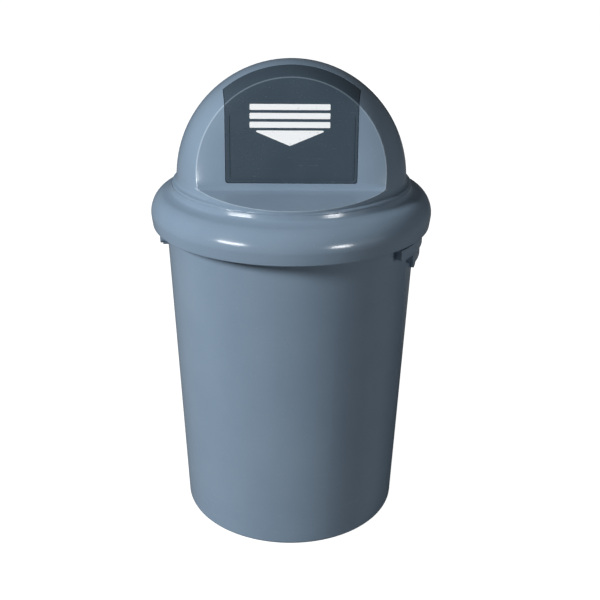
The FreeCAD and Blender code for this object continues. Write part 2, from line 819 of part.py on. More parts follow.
def cap_path():
    # The flap's half section in the tilted frame: flat panel, bevelled crease, then the band on the dome.
    leave, meet = crease_marks()
    radius = dome_radius
    inner = radius - s.flap_wall
    rear = flap_rear_distance
    back = face_distance - s.flap_wall
    band_middle = (meet[1] + rear) * half_share
    inner_middle = (rear + back) * half_share
    return [
        tilted(zero, face_distance),
        tilted(*leave),
        tilted(*meet),
        Via(*tilted(along_sphere(radius, band_middle), band_middle)),
        tilted(along_sphere(radius, rear), rear),
        tilted(along_sphere(inner, rear), rear),
        Via(*tilted(along_sphere(inner, inner_middle), inner_middle)),
        tilted(along_sphere(inner, back), back),
        tilted(zero, back),
    ]


def make_flap():
    cap = new_body("flap_cap")
    sketch = new_sketch(cap, "CapSketch", "YZ_Plane")
    draw_outline(sketch, cap_path())
    axis = axis_line(sketch)
    add_feature(cap, "Revolution", "Cap", sketch, axis=axis)
    body = new_body("swing_flap")
    loft_outline(body, "AdditiveLoft", "Outline", zero)
    common = body.newObject("PartDesign::Boolean", "Shell")
    common.setObjects([cap])
    common.Type = "Common"
    doc.recompute()
    add_flap_cheeks(body)
    add_flap_flange(body)
    add_flap_ribs(body)
    add_flap_bead(body)
    return body


cheek_middle = boss_start + s.boss_length * half_share
cheek_front = face_distance - s.flap_wall * half_share
flange_rear = flap_rear_distance + s.flap_flange_setback
flange_middle = flange_rear + s.flap_wall * half_share
shell_middle = dome_radius - s.flap_wall * half_share
cheek_reach = dome_radius * s.cheek_reach_share


def round_pivot(turn):
    # A point on the rear of a cheek, at an angle above the level behind the pivot.
    return tilted(pivot_height + cheek_reach * sine(turn), pivot_out - cheek_reach * cosine(turn))


def add_flap_cheeks(body):
    # A side wall each side, behind the panel and under the band, with a boss for the hinge pin.
    inside = cheek_middle - s.cheek_wall * half_share
    outside = cheek_middle + s.cheek_wall * half_share
    seat = root(shell_middle * shell_middle - outside * outside)
    top_middle = (cheek_front + flange_middle) * half_share
    path = [
        tilted(pivot_height - dome_radius * s.cheek_drop_share, cheek_front),
        round_pivot(-s.cheek_low_turn),
        Via(*round_pivot((s.cheek_high_turn - s.cheek_low_turn) * half_share)),
        round_pivot(s.cheek_high_turn),
        tilted(along_sphere(seat, flange_middle), flange_middle),
        Via(*tilted(along_sphere(seat, top_middle), top_middle)),
        tilted(along_sphere(seat, cheek_front), cheek_front),
    ]
    sketch = new_sketch(body, "CheekSketch", "YZ_Plane", (zero, zero, inside))
    draw_outline(sketch, path)
    cheek = add_feature(body, "Pad", "Cheek", sketch, Length=s.cheek_wall)
    sketch = new_sketch(body, "PinBossSketch", "YZ_Plane", (zero, zero, boss_start))
    draw_circle(sketch, pivot_y, pivot_z, s.boss_radius)
    boss = add_feature(body, "Pad", "PinBoss", sketch, Length=s.boss_length)
    mirror(body, "Cheeks", [cheek, boss])
    sketch = new_sketch(body, "PinHoleSketch", "YZ_Plane")
    draw_circle(sketch, pivot_y, pivot_z, s.pin_radius)
    width = (boss_end + s.overrun) * two
    add_feature(body, "Pocket", "PinHole", sketch, Length=width, Midplane=True)


def add_flap_flange(body):
    # A curved flange under the rear of the band, from cheek to cheek. Its weight helps to close the flap.
    outer = along_sphere(shell_middle, flange_middle)
    inner = outer - s.flap_flange_depth
    half = cheek_middle
    path = [
        (half, root(outer * outer - half * half)),
        Via(zero, outer),
        (-half, root(outer * outer - half * half)),
        (-half, root(inner * inner - half * half)),
        Via(zero, inner),
        (half, root(inner * inner - half * half)),
    ]
    sketch = tilted_sketch(body, "FlangeSketch", flange_rear)
    draw_outline(sketch, path)
    add_feature(body, "Pad", "Flange", sketch, Length=s.flap_wall)


def add_flap_ribs(body):
    # A turned-in lower edge and two upright ribs stiffen the panel.
    back = face_distance - s.flap_wall
    front = face_distance - s.flap_wall * half_share
    low = -s.flap_bottom
    path = [
        tilted(low, front),
        tilted(low, back - s.rib_depth),
        tilted(low + s.rib_wall, back - s.rib_depth),
        tilted(low + s.rib_wall, front),
    ]
    sketch = new_sketch(body, "LowerEdgeSketch", "YZ_Plane")
    draw_outline(sketch, path)
    width = (flap_half_width - s.flap_corner) * two
    add_feature(body, "Pad", "LowerEdge", sketch, Length=width, Midplane=True)
    high = pivot_height
    path = [
        tilted(low + s.rib_wall * half_share, front),
        tilted(low + s.rib_wall * half_share, back - s.rib_depth),
        tilted(high - s.rib_depth, back - s.rib_depth),
        tilted(high, front),
    ]
    offset = flap_half_width * size_of(rib_place_share)
    sketch = new_sketch(body, "UprightSketch", "YZ_Plane", (zero, zero, offset))
    draw_outline(sketch, path)
    rib = add_feature(body, "Pad", "Upright", sketch, Length=s.rib_wall)
    mirror(body, "Uprights", [rib])


rib_place_share = 0.36


def add_flap_bead(body):
    # A raised border that runs down both sides and along the bottom of the panel.
    inset = s.bead_inset
    width = s.bead_width
    slope = sine(s.flap_side_slope) / cosine(s.flap_side_slope)
    high = pivot_height
    low_outer = inset - s.flap_bottom
    low_inner = low_outer + width
    half_outer = flap_half_width - inset
    half_inner = half_outer - width
    grow = slope * (high - low_outer)
    corner = s.flap_corner
    bend = corner * (one - diagonal_share)
    tight = corner - width
    tight_bend = tight * (one - diagonal_share)
    path = [
        (-(half_outer + grow), high),
        (-half_outer, low_outer + corner),
        Via(-(half_outer - bend), low_outer + bend),
        (-(half_outer - corner), low_outer),
        (half_outer - corner, low_outer),
        Via(half_outer - bend, low_outer + bend),
        (half_outer, low_outer + corner),
        (half_outer + grow, high),
        (half_inner + grow, high),
        (half_inner, low_inner + tight),
        Via(half_inner - tight_bend, low_inner + tight_bend),
        (half_inner - tight, low_inner),
        (-(half_inner - tight), low_inner),
        Via(-(half_inner - tight_bend), low_inner + tight_bend),
        (-half_inner, low_inner + tight),
        (-(half_inner + grow), high),
    ]
    sketch = tilted_sketch(body, "BeadSketch", face_distance - s.bead_height)
    draw_outline(sketch, path)
    add_feature(body, "Pad", "Bead", sketch, Length=s.bead_height + s.bead_height)


def place(body, x, y, z, yaw, pitch):
    # Binds a piece's place and its turn about Z and then Y.
    spot = "create(<<vector>>; " + x.text + "; " + y.text + "; " + z.text + ")"
    turn = "create(<<rotation>>; " + yaw.text + "; " + pitch.text + "; 0)"
    body.setExpression("Placement", "create(<<placement>>; " + spot + "; " + turn + ")")


def make_pin(label, side):
    # A plain pin along its own Z, pressed into the flap's boss and free in the dome's lug.
    body = new_body(label)
    length = lug_end + s.pin_end_reach - boss_start
    edge = s.pin_end_round
    bend = edge * (one - diagonal_share)
    path = [
        (zero, zero),
        (s.pin_radius - edge, zero),
        Via(s.pin_radius - bend, bend),
        (s.pin_radius, edge),
        (s.pin_radius, length - edge),
        Via(s.pin_radius - bend, length - bend),
        (s.pin_radius - edge, length),
        (zero, length),
    ]
    revolve(body, "PinForm", path)
    place(body, boss_start * side, pivot_y, pivot_z, zero, right_angle * side)
    return body


# Handles

handle_sides = {"right": zero, "left": half_turn}
screw_places = {"front": -one, "rear": one}


def screw_angle(side, spot):
    # Angle about Z of a handle screw. Front and rear swap on the left, which faces the other way.
    if side == "left":
        return handle_sides[side] - s.handle_turn - screw_places[spot] * s.handle_screw_angle
    return handle_sides[side] - s.handle_turn + screw_places[spot] * s.handle_screw_angle


handle_screw_height = handle_top_height - s.handle_screw_drop


def cut_handle_holes(body):
    for side in handle_sides:
        for spot in screw_places:
            name = "Hole_" + side + "_" + spot
            sketch = new_sketch(body, name + "Sketch", "YZ_Plane", None, screw_angle(side, spot), (0, 1, 0))
            draw_circle(sketch, zero, handle_screw_height, s.screw_radius + s.screw_hole_gap)
            length = s.tub_rim_radius + s.overrun
            add_feature(body, "Pocket", name, sketch, Length=length, Reversed=True)


def step_path(radius, drop, inset, low_inset):
    # Section of one step from the tub out to its face, up to the top of the handle.
    low = handle_top_height - drop + low_inset
    seat = s.handle_seat_gap - (s.overrun if inset is not zero else zero)
    high = handle_top_height + (s.overrun if inset is not zero else zero)
    return [
        (tub_outside(low) + seat, low),
        (radius - inset, low),
        (radius - inset, high),
        (tub_outside(high) + seat, high),
    ]


def make_handle(label, side):
    body = new_body(label)
    drop = zero
    steps = []
    for name, reach, height, angle in (
        ("Upper", s.handle_upper_reach, s.handle_upper_drop, s.handle_upper_angle),
        ("Middle", s.handle_middle_reach, s.handle_middle_drop, s.handle_middle_angle),
        ("Lower", s.handle_lower_reach, s.handle_lower_drop, s.handle_lower_angle),
    ):
        drop = drop + height
        radius = tub_outside(handle_top_height) + reach
        steps.append((name, radius, drop, angle))
        revolve(body, name, step_path(radius, drop, zero, zero), Angle=angle, Midplane=True)
    doc.recompute()
    round_step_corners(body, steps)
    for name, radius, depth, angle in steps:
        wall_angle = s.handle_wall / radius * full_turn / size_of(math.pi)
        path = step_path(radius, depth, s.handle_wall, s.handle_wall)
        revolve(body, name + "Hollow", path, kind="Groove", Angle=angle - wall_angle, Midplane=True)
    add_handle_bosses(body, side)
    return body


def round_step_corners(body, steps):
    # The lower corners at both ends of each step are well rounded.
    base = body.Tip
    names = []
    for index, edge in enumerate(base.Shape.Edges, 1):
        if not isinstance(edge.Curve, Part.Line):
            continue
        first = edge.Vertexes[0].Point
        last = edge.Vertexes[-1].Point
        if abs(first.z - last.z) > s.handle_seat_gap.value:
            continue
        bearing = abs(math.degrees(math.atan2(first.y, first.x)))
        for name, radius, depth, angle in steps:
            low = handle_top_height.value - depth.value
            at_end = abs(bearing - angle.value * half_share.value) < s.handle_seat_gap.value
            if at_end and abs(first.z - low) < s.handle_seat_gap.value:
                names.append("Edge" + str(index))
    fillet = body.newObject("PartDesign::Fillet", "StepCorners")
    fillet.Base = (base, names)
    fillet.setExpression("Radius", s.handle_corner.text)


def add_handle_bosses(body, side):
    for spot, sense in screw_places.items():
        turn = sense * s.handle_screw_angle
        start = tub_outside(handle_screw_height + s.handle_boss_radius) + s.handle_seat_gap
        length = tub_outside(handle_top_height) + s.handle_upper_reach - s.handle_wall * half_share - start
        shift = polar_shift(start, turn)
        sketch = new_sketch(body, "Boss_" + spot + "Sketch", "YZ_Plane", shift, turn, (0, 1, 0))
        draw_circle(sketch, zero, handle_screw_height, s.handle_boss_radius)
        add_feature(body, "Pad", "Boss_" + spot, sketch, Length=length)
        sketch = new_sketch(body, "Pilot_" + spot + "Sketch", "YZ_Plane", None, turn, (0, 1, 0))
        draw_circle(sketch, zero, handle_screw_height, s.screw_radius)
        add_feature(body, "Pocket", "Pilot_" + spot, sketch, Length=start + s.handle_screw_bite, Reversed=True)
    turn = handle_sides[side] - s.handle_turn
    place(body, zero, zero, zero, turn, zero)


def polar_shift(radius, turn):
    # Offset, in the axes of the YZ plane, of a point at an angle about Z.
    return radius * sine(turn), zero, radius * cosine(turn)


parts = {}
parts["bin_body"] = make_tub()
for side in handle_sides:
    parts["handle_" + side] = make_handle("handle_" + side, side)
    for spot in screw_places:
        label = "handle_screw_" + side + "_" + spot
        seat_radius = tub_outside(handle_screw_height) - s.tub_wall - s.screw_seat_gap
        length = s.screw_seat_gap + s.tub_wall + s.handle_seat_gap + s.handle_screw_bite
        screw = make_screw(label, length)
        angle = screw_angle(side, spot)
        x, y = polar_point(seat_radius, angle)
        place(screw, x, y, handle_screw_height, angle, right_angle)
        parts[label] = screw
parts["lid_collar"] = make_collar()
parts["dome_hood"] = make_hood()
for number in range(int(s.hood_screw_count.value)):
    label = "hood_screw_" + str(number + 1)
    screw = make_screw(label, s.ledge_wall + s.screw_bite)
    angle = right_angle + full_turn * size_of(number) / s.hood_screw_count
    x, y = polar_point(hood_screw_circle, angle)
    place(screw, x, y, ledge_top - s.ledge_wall, zero, zero)
    parts[label] = screw
parts["swing_flap"] = make_flap()
parts["hinge_pin_right"] = make_pin("hinge_pin_right", one)
parts["hinge_pin_left"] = make_pin("hinge_pin_left", -one)
doc.recompute()

for item in doc.Objects:
    if "Invalid" in item.State or "Error" in item.State:
        raise RuntimeError("failed: " + item.Label)
os.makedirs("parts", exist_ok=True)
for name, item in parts.items():
    shape = item.Shape
    if shape.isNull() or not shape.isValid():
        raise RuntimeError("bad shape: " + name)
    shape.exportStep("parts/" + name + ".step")
    print(name, len(shape.Solids), round(shape.Volume), shape.BoundBox)
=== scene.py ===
import bpy
import bmesh
import math
from mathutils import Matrix, Vector


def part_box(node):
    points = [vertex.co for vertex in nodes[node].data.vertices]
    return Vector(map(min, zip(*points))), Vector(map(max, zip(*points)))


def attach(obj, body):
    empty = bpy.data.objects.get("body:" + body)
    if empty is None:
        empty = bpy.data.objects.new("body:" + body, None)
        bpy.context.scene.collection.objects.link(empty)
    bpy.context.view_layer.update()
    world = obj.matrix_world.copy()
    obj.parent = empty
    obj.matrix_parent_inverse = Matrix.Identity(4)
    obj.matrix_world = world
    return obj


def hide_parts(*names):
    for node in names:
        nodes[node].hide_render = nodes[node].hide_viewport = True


# Round waste bin with a push flap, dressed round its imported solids. Z is up and the flap faces -Y.
# The sizes are in millimetres unless a note says otherwise, and mm turns them into Blender's metres.

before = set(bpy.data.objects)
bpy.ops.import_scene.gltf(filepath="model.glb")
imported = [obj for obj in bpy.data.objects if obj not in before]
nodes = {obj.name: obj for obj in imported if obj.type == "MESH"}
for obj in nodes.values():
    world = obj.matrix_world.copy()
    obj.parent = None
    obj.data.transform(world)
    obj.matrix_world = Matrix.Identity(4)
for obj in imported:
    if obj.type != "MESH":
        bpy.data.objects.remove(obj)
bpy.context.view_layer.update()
mm = 0.001
print("frame loaded", len(nodes), "solids")

black = (0, 0, 0, 1)
white = (1, 1, 1, 1)


# Shader helpers: a socket that takes part in sums, and one way to make any node.

class Wire:
    def __init__(self, paint, socket):
        self.paint = paint
        self.socket = socket

    def work(self, operation, first, second):
        return self.paint.make("ShaderNodeMath", {"operation": operation}, {0: first, 1: second})

    def __add__(self, other):
        return self.work("ADD", self, other)

    def __sub__(self, other):
        return self.work("SUBTRACT", self, other)

    def __rsub__(self, other):
        return self.work("SUBTRACT", other, self)

    def __mul__(self, other):
        return self.work("MULTIPLY", self, other)

    def __pow__(self, other):
        return self.work("POWER", self, other)

    __radd__ = __add__
    __rmul__ = __mul__


class Paint:
    # The nodes of one material, or of the world, and the shader that they end in.
    def __init__(self, owner, shader="Principled BSDF"):
        owner.use_nodes = True
        self.owner = owner
        self.tree = owner.node_tree
        self.shader = self.tree.nodes[shader]

    def make(self, kind, settings=None, inputs=None, output=0):
        node = self.tree.nodes.new(kind)
        for key, setting in (settings or {}).items():
            if key == "stops":
                while len(node.color_ramp.elements) < len(setting):
                    node.color_ramp.elements.new(0.5)
                for element, (place, colour) in zip(node.color_ramp.elements, setting):
                    element.position = place
                    element.color = colour
            else:
                setattr(node, key, setting)
        for key, value in (inputs or {}).items():
            self.feed(node.inputs[key], value)
        return Wire(self, node.outputs[output])

    def feed(self, target, value):
        # A wire is linked to the socket, and anything else is its value.
        if isinstance(value, Wire):
            self.tree.links.new(value.socket, target)
        else:
            target.default_value = value

    def set(self, sockets):
        for name, value in sockets.items():
            self.feed(self.shader.inputs[name], value)

    def place(self):
        return self.make("ShaderNodeTexCoord", output="Object")

    def axes(self, vector):
        split = self.make("ShaderNodeSeparateXYZ", {}, {0: vector}).socket.node
        return [Wire(self, output) for output in split.outputs]

    def stretch(self, vector, scale):
        return self.make("ShaderNodeMapping", {}, {0: vector, 3: scale})

    def noise(self, vector, scale, detail, roughness=0.5):
        return self.make("ShaderNodeTexNoise", {}, {"Vector": vector, "Scale": scale, "Detail": detail,
                                                    "Roughness": roughness})

    def patches(self, value, stops):
        # Nothing up to the first stop, all from the second on.
        return self.make("ShaderNodeValToRGB", {"stops": list(zip(stops, (black, white)))}, {0: value})

    def blend(self, factor, first, second):
        return self.make("ShaderNodeMix", {"data_type": "RGBA"}, {0: factor, 6: first, 7: second}, output=2)

    def span(self, value, start, end, atStart, atEnd, settings=None):
        return self.make("ShaderNodeMapRange", settings, {0: value, 1: start, 2: end, 3: atStart, 4: atEnd})

    def band(self, value, middle, half):
        # One within half of the middle, fading to nothing over half as much again.
        away = self.make("ShaderNodeMath", {"operation": "ABSOLUTE"}, {0: value - middle})
        return self.span(away, half, half * 1.5, 1.0, 0.0, {"interpolation_type": "SMOOTHSTEP"})

    def bump(self, height, depth, strength):
        return self.make("ShaderNodeBump", {}, {"Height": height, "Distance": depth * mm,
                                                "Strength": strength})


def linear(red, green, blue):
    # A screen colour, 0 to 255, as the linear colour that the shader takes.
    def channel(level):
        level = level / 255
        return level / 12.92 if level <= 0.04045 else ((level + 0.055) / 1.055) ** 2.4
    return (channel(red), channel(green), channel(blue), 1)


# Finishes. Colours are screen colours, and the scales count a pattern's repeats in a metre.

def mouldedPlastic(name, look, paintedHighlight=None):
    # Injection-moulded plastic: a fine spark-eroded grain, faint cloudy colour, rubbed and dusty patches.
    # The last argument gives thin lines along edges, painted pale: a painted highlight.
    paint = Paint(bpy.data.materials.new(name))
    place = paint.place()
    x, y, z = paint.axes(place)
    clouds = paint.noise(place, look["cloudScale"], look["cloudDetail"])
    drawn = paint.stretch(place, look["streakStretch"])
    streaks = paint.noise(drawn, look["streakScale"], look["streakDetail"])
    grain = paint.noise(place, look["grainScale"], look["grainDetail"])
    speckle = paint.noise(place, look["speckleScale"], look["grainDetail"])
    mixed = clouds * look["cloudShare"] + streaks * (1 - look["cloudShare"])
    mottle = paint.patches(mixed, look["mottleStops"])
    colour = paint.blend(mottle, linear(*look["deep"]), linear(*look["pale"]))
    rubs = paint.noise(paint.stretch(place, look["scuffStretch"]), look["scuffScale"], look["scuffDetail"],
                       look["scuffRoughness"])
    low = paint.span(z, look["scuffHigh"] * mm, look["scuffLow"] * mm, look["scuffLeast"], 1.0)
    rubbed = paint.patches(rubs, look["scuffStops"]) * low * look["scuffShare"]
    colour = paint.blend(rubbed, colour, linear(*look["rubbed"]))
    dust = paint.patches(speckle, look["dustStops"]) * look["dustShare"]
    colour = paint.blend(dust, colour, linear(*look["dust"]))
    # Pale lines along edges: a painted highlight.
    if paintedHighlight:
        colour = paint.blend(paintedHighlight(paint, x, y, z) * look["paintedHighlightShare"], colour, linear(*look["paintedHighlight"]))
    dulled = rubbed * look["dulling"] + dust * look["dulling"]
    rough = look["roughness"] + mottle * look["roughnessSpread"] + dulled
    paint.set({"Base Color": colour, "Roughness": rough, "IOR": look["refraction"],
               "Normal": paint.bump(grain, look["grainDepth"], look["grainStrength"])})
    return paint.owner


# What every moulding shares. Stops are where a pattern's patches begin and where they are whole.
mouldingLook = {"cloudDetail": 4, "cloudShare": 0.7, "streakDetail": 3, "mottleStops": (0.35, 0.65),
                "grainDetail": 2, "grainDepth": 0.2, "scuffStretch": (1, 1, 7), "scuffDetail": 5,
                "scuffRoughness": 0.7, "scuffStops": (0.60, 0.74), "scuffLeast": 0.15,
                "dustStops": (0.66, 0.72), "paintedHighlightShare": 0.6, "dulling": 0.2, "refraction": 1.49}
# In each look below, the colour after dust is that of the painted highlight along edges.
shellLook = {**mouldingLook, "deep": (124, 144, 164), "pale": (130, 150, 169), "rubbed": (150, 168, 184),
             "dust": (158, 170, 180), "paintedHighlight": (174, 192, 208), "cloudScale": 9, "streakScale": 14,
             "streakStretch": (1, 1, 0.25), "grainScale": 900, "speckleScale": 420, "scuffScale": 22,
             "scuffHigh": 200, "scuffLow": 0, "scuffShare": 0.5, "dustShare": 0.25, "roughness": 0.17,
             "roughnessSpread": 0.03, "grainStrength": 0.04}
flapLook = {**mouldingLook, "deep": (62, 76, 88), "pale": (68, 82, 94), "rubbed": (86, 102, 113),
            "dust": (104, 116, 124), "paintedHighlight": (120, 136, 148), "cloudScale": 14, "streakScale": 20,
            "streakStretch": (1, 1, 0.3), "grainScale": 1300, "speckleScale": 520, "scuffScale": 30,
            "scuffHigh": 700, "scuffLow": 560, "scuffShare": 0.35, "dustShare": 0.1, "roughness": 0.24,
            "roughnessSpread": 0.04, "grainStrength": 0.06}

# The dome is round about a centre at this height on the bin's axis, and its flat face leans back in degrees.
domeFace = {"lean": 16.4, "centre": 567.5}
# The painted highlight on the crease is a ring on that face: the face's distance from the centre, the ring's
# radius and half its width. The painted highlight on the shelf's front edge is an arc about a line forward of
# the axis, on a top that slopes down to the front.
paintedHighlightEdges = {"creaseOut": 113.2, "crease": 137.7, "creaseHalf": 0.8, "shelfCurve": 165.1, "forward": 20.7,
             "shelfFront": 186.2, "shelfHeight": 567.7, "shelfSlope": 8.2, "shelfHalf": 0.8, "shelfFade": 1.0}


def paintedCreaseHighlight(paint, x, y, z):
    # A painted highlight along the ring on which the flat face meets the round of the dome, or of the flap.
    lean = math.radians(domeFace["lean"])
    rise = z - domeFace["centre"] * mm
    out = rise * math.sin(lean) - y * math.cos(lean)
    along = y * math.sin(lean) + rise * math.cos(lean)
    reach = (x * x + along * along) ** 0.5
    half = paintedHighlightEdges["creaseHalf"] * mm
    onRing = paint.band(reach, paintedHighlightEdges["crease"] * mm, half)
    return onRing * paint.band(out, paintedHighlightEdges["creaseOut"] * mm, half)


def paintedDomeHighlights(paint, x, y, z):
    # Painted highlights along the crease, and along the front edge of the shelf below it.
    slope = math.radians(paintedHighlightEdges["shelfSlope"])
    above = ((z - paintedHighlightEdges["shelfHeight"] * mm) * math.cos(slope)
             - (y + paintedHighlightEdges["shelfFront"] * mm) * math.sin(slope))
    forward = y + paintedHighlightEdges["forward"] * mm
    reach = (x * x + forward * forward) ** 0.5
    half = paintedHighlightEdges["shelfHalf"] * mm
    front = paint.band(reach, paintedHighlightEdges["shelfCurve"] * mm, half) * paint.band(above, 0, half)
    overShelf = paint.span(above, -paintedHighlightEdges["shelfFade"] * mm, 0.0, 0.0, 1.0)
    return paintedCreaseHighlight(paint, x, y, z) * overShelf + front


def zincSteel(name, look):
    # Zinc-plated steel: fine turning marks, cloudy passivation and small dull spots.
    paint = Paint(bpy.data.materials.new(name))
    place = paint.place()
    marks = paint.make("ShaderNodeTexWave", {"wave_type": "RINGS"},
                       {"Vector": place, "Scale": look["markScale"], "Distortion": look["markWaver"],
                        "Detail": look["markDetail"]})
    clouds = paint.noise(place, look["cloudScale"], look["cloudDetail"])
    spots = paint.patches(paint.noise(place, look["spotScale"], look["spotDetail"]), look["spotStops"])
    colour = paint.blend(clouds, linear(*look["deep"]), linear(*look["pale"]))
    colour = paint.blend(spots * look["spotShare"], colour, linear(*look["dull"]))
    rough = look["roughness"] + clouds * look["cloudDulling"] + spots * look["spotDulling"]
    paint.set({"Base Color": colour, "Metallic": 1.0, "Roughness": rough,
               "Normal": paint.bump(marks, look["markDepth"], look["markStrength"])})
    return paint.owner


steelLook = {"deep": (168, 172, 176), "pale": (198, 201, 204), "dull": (120, 122, 122), "cloudScale": 300,
             "cloudDetail": 3, "cloudDulling": 0.12, "spotScale": 600, "spotDetail": 2,
             "spotStops": (0.62, 0.70), "spotShare": 0.5, "spotDulling": 0.2, "markScale": 800,
             "markWaver": 2.0, "markDetail": 2.0, "markDepth": 0.1, "markStrength": 0.1, "roughness": 0.3}


def whiteInk(name, look):
    # Pad-printed ink: thin spots where the dark plastic shows through, and a dry, slightly grainy face.
    paint = Paint(bpy.data.materials.new(name))
    place = paint.place()
    thin = paint.noise(place, look["thinScale"], look["thinDetail"], look["thinRoughness"])
    grain = paint.noise(place, look["grainScale"], look["grainDetail"])
    colour = paint.blend(paint.patches(thin, look["thinStops"]) * look["thinShare"],
                         linear(*look["ink"]), linear(*look["under"]))
    paint.set({"Base Color": colour, "Roughness": look["roughness"] + grain * look["roughnessSpread"],
               "Normal": paint.bump(grain, look["grainDepth"], look["grainStrength"])})
    return paint.owner


inkLook = {"ink": (250, 253, 255), "under": (150, 162, 171), "thinScale": 90, "thinDetail": 5,
           "thinRoughness": 0.65, "thinStops": (0.62, 0.72), "thinShare": 0.35, "grainScale": 1200,
           "grainDetail": 2, "grainDepth": 0.1, "grainStrength": 0.1, "roughness": 0.5,
           "roughnessSpread": 0.12}

shellPaint = mouldedPlastic("blueGreyShell", shellLook)
# The dome and the flap carry painted highlights along their edges.
domePaint = mouldedPlastic("blueGreyDome", shellLook, paintedDomeHighlights)
flapPaint = mouldedPlastic("slateFlap", flapLook, paintedCreaseHighlight)
steelPaint = zincSteel("zincSteel", steelLook)
inkPaint = whiteInk("whiteInk", inkLook)
print("finishes made")


class Tree:
    # A geometry node group under construction, with its named inputs.
    def __init__(self, name, sizes):
        self.group = bpy.data.node_groups.new(name, "GeometryNodeTree")
        self.group.interface.new_socket("Geometry", in_out="INPUT", socket_type="NodeSocketGeometry")
        self.identifiers = {}
        for label, kind in sizes.items():
            socket = self.group.interface.new_socket(label, in_out="INPUT", socket_type=kind)
            self.identifiers[label] = socket.identifier
        self.group.interface.new_socket("Geometry", in_out="OUTPUT", socket_type="NodeSocketGeometry")
        self.start = self.group.nodes.new("NodeGroupInput")
        self.end = self.group.nodes.new("NodeGroupOutput")

    def given(self, label):
        return self.start.outputs[label]

    def node(self, kind, settings=None, inputs=None):
        node = self.group.nodes.new(kind)
        for key, setting in (settings or {}).items():
            setattr(node, key, setting)
        for key, value in (inputs or {}).items():
            if isinstance(value, bpy.types.NodeSocket):
                self.group.links.new(value, node.inputs[key])
            else:
                node.inputs[key].default_value = value
        return node.outputs[0]

    def work(self, operation, first, second=0.0):
        return self.node("ShaderNodeMath", {"operation": operation}, {0: first, 1: second})

    def finishWith(self, geometry):
        self.group.links.new(geometry, self.end.inputs[0])


# How meshes are made: the turned pieces' segments, a corner's steps and the share of a side that its round
# may take, and how near to each other points count as one. Where faces turn by more than crispAngle, in
# degrees, their edge is crisp.
meshing = {"segments": 224, "cornerSteps": 5, "cornerShare": 0.49, "poleMerge": 0.001, "doubles": 0.0005,
           "slivers": 0.0001, "weld": 0.01, "crispAngle": 40}


def makeSmoothGroup():
    # Shades everything smooth, then leaves the steep edges crisp.
    tree = Tree("smoothFaces", {})
    smooth = tree.node("GeometryNodeSetShadeSmooth", {}, {"Geometry": tree.given("Geometry")})
    steep = tree.node("FunctionNodeCompare", {}, {0: tree.node("GeometryNodeInputMeshEdgeAngle"),
                                                  1: math.radians(meshing["crispAngle"])})
    crisp = tree.node("GeometryNodeSetShadeSmooth", {"domain": "EDGE"},
                      {"Geometry": smooth, "Selection": steep, "Shade Smooth": False})
    tree.finishWith(crisp)
    return tree.group


smoothGroup = makeSmoothGroup()


# Solids that keep their own mesh: a soft edge, a smooth face and a finish.

def dress(name, paint, softEdge=None):
    solid = nodes[name]
    for place in solid.material_slots:
        place.material = paint
    weld = solid.modifiers.new("weld", "WELD")
    weld.merge_threshold = meshing["weld"] * mm
    if softEdge:
        bevel = solid.modifiers.new("softEdge", "BEVEL")
        bevel.width = softEdge["width"] * mm
        bevel.segments = softEdge["steps"]
        bevel.limit_method = "ANGLE"
        bevel.angle_limit = math.radians(meshing["crispAngle"])
    smooth = solid.modifiers.new("smooth", "NODES")
    smooth.node_group = smoothGroup


handleEdge = {"width": 0.6, "steps": 2}      # how wide and in how many steps the handles' edges are softened

for name in nodes:
    if "screw" in name or "pin" in name:
        dress(name, steelPaint)
dress("dome_hood", domePaint)
dress("handle_right", shellPaint, handleEdge)
dress("handle_left", shellPaint, handleEdge)
dress("swing_flap", flapPaint)
print("solids dressed")


# Turned pieces: an outline of corners (radius, height, and the corner's round), turned about the bin's axis.

def arcThrough(first, middle, last, steps):
    # Points after the first, up to the last, on the circle through three points.
    ax, az = first
    bx, bz = middle
    cx, cz = last
    double = 2 * (ax * (bz - cz) + bx * (cz - az) + cx * (az - bz))
    centreX = ((ax ** 2 + az ** 2) * (bz - cz) + (bx ** 2 + bz ** 2) * (cz - az)
               + (cx ** 2 + cz ** 2) * (az - bz)) / double
    centreZ = ((ax ** 2 + az ** 2) * (cx - bx) + (bx ** 2 + bz ** 2) * (ax - cx)
               + (cx ** 2 + cz ** 2) * (bx - ax)) / double
    radius = math.hypot(ax - centreX, az - centreZ)
    angles = [math.atan2(pz - centreZ, px - centreX) for px, pz in (first, middle, last)]
    turnMiddle = (angles[1] - angles[0]) % math.tau
    turnLast = (angles[2] - angles[0]) % math.tau
    if turnMiddle > turnLast:
        turnLast -= math.tau
    turns = [angles[0] + turnLast * step / steps for step in range(1, steps + 1)]
    return [(centreX + radius * math.cos(turn), centreZ + radius * math.sin(turn)) for turn in turns]


def roundCorner(before, corner, after, wanted, steps):
    # Replaces a corner by an arc that touches both its sides, of the wanted radius where there is room.
    here = Vector(corner)
    toBefore = Vector(before) - here
    toAfter = Vector(after) - here
    halfAngle = toBefore.angle(toAfter) / 2
    room = min(toBefore.length, toAfter.length) * meshing["cornerShare"]
    back = min(wanted / math.tan(halfAngle), room)
    start = here + toBefore.normalized() * back
    end = here + toAfter.normalized() * back
    inward = (toBefore.normalized() + toAfter.normalized()).normalized()
    radius = back * math.tan(halfAngle)
    middle = here + inward * (radius / math.sin(halfAngle) - radius)
    return [tuple(start)] + arcThrough(tuple(start), tuple(middle), tuple(end), steps)


def outlineOf(corners, closed):
    # The outline as a mesh of edges. A corner without a round stays sharp.
    path = []
    for index, corner in enumerate(corners):
        if len(corner) == 2:
            path.append(corner)
        else:
            before = corners[index - 1][:2]
            after = corners[(index + 1) % len(corners)][:2]
            path += roundCorner(before, corner[:2], after, corner[2], meshing["cornerSteps"])
    points = [(x * mm, 0, z * mm) for x, z in path]
    edges = [(place, place + 1) for place in range(len(points) - 1)]
    if closed:
        edges.append((len(points) - 1, 0))
    mesh = bpy.data.meshes.new("outline")
    mesh.from_pydata(points, edges, [])
    return mesh


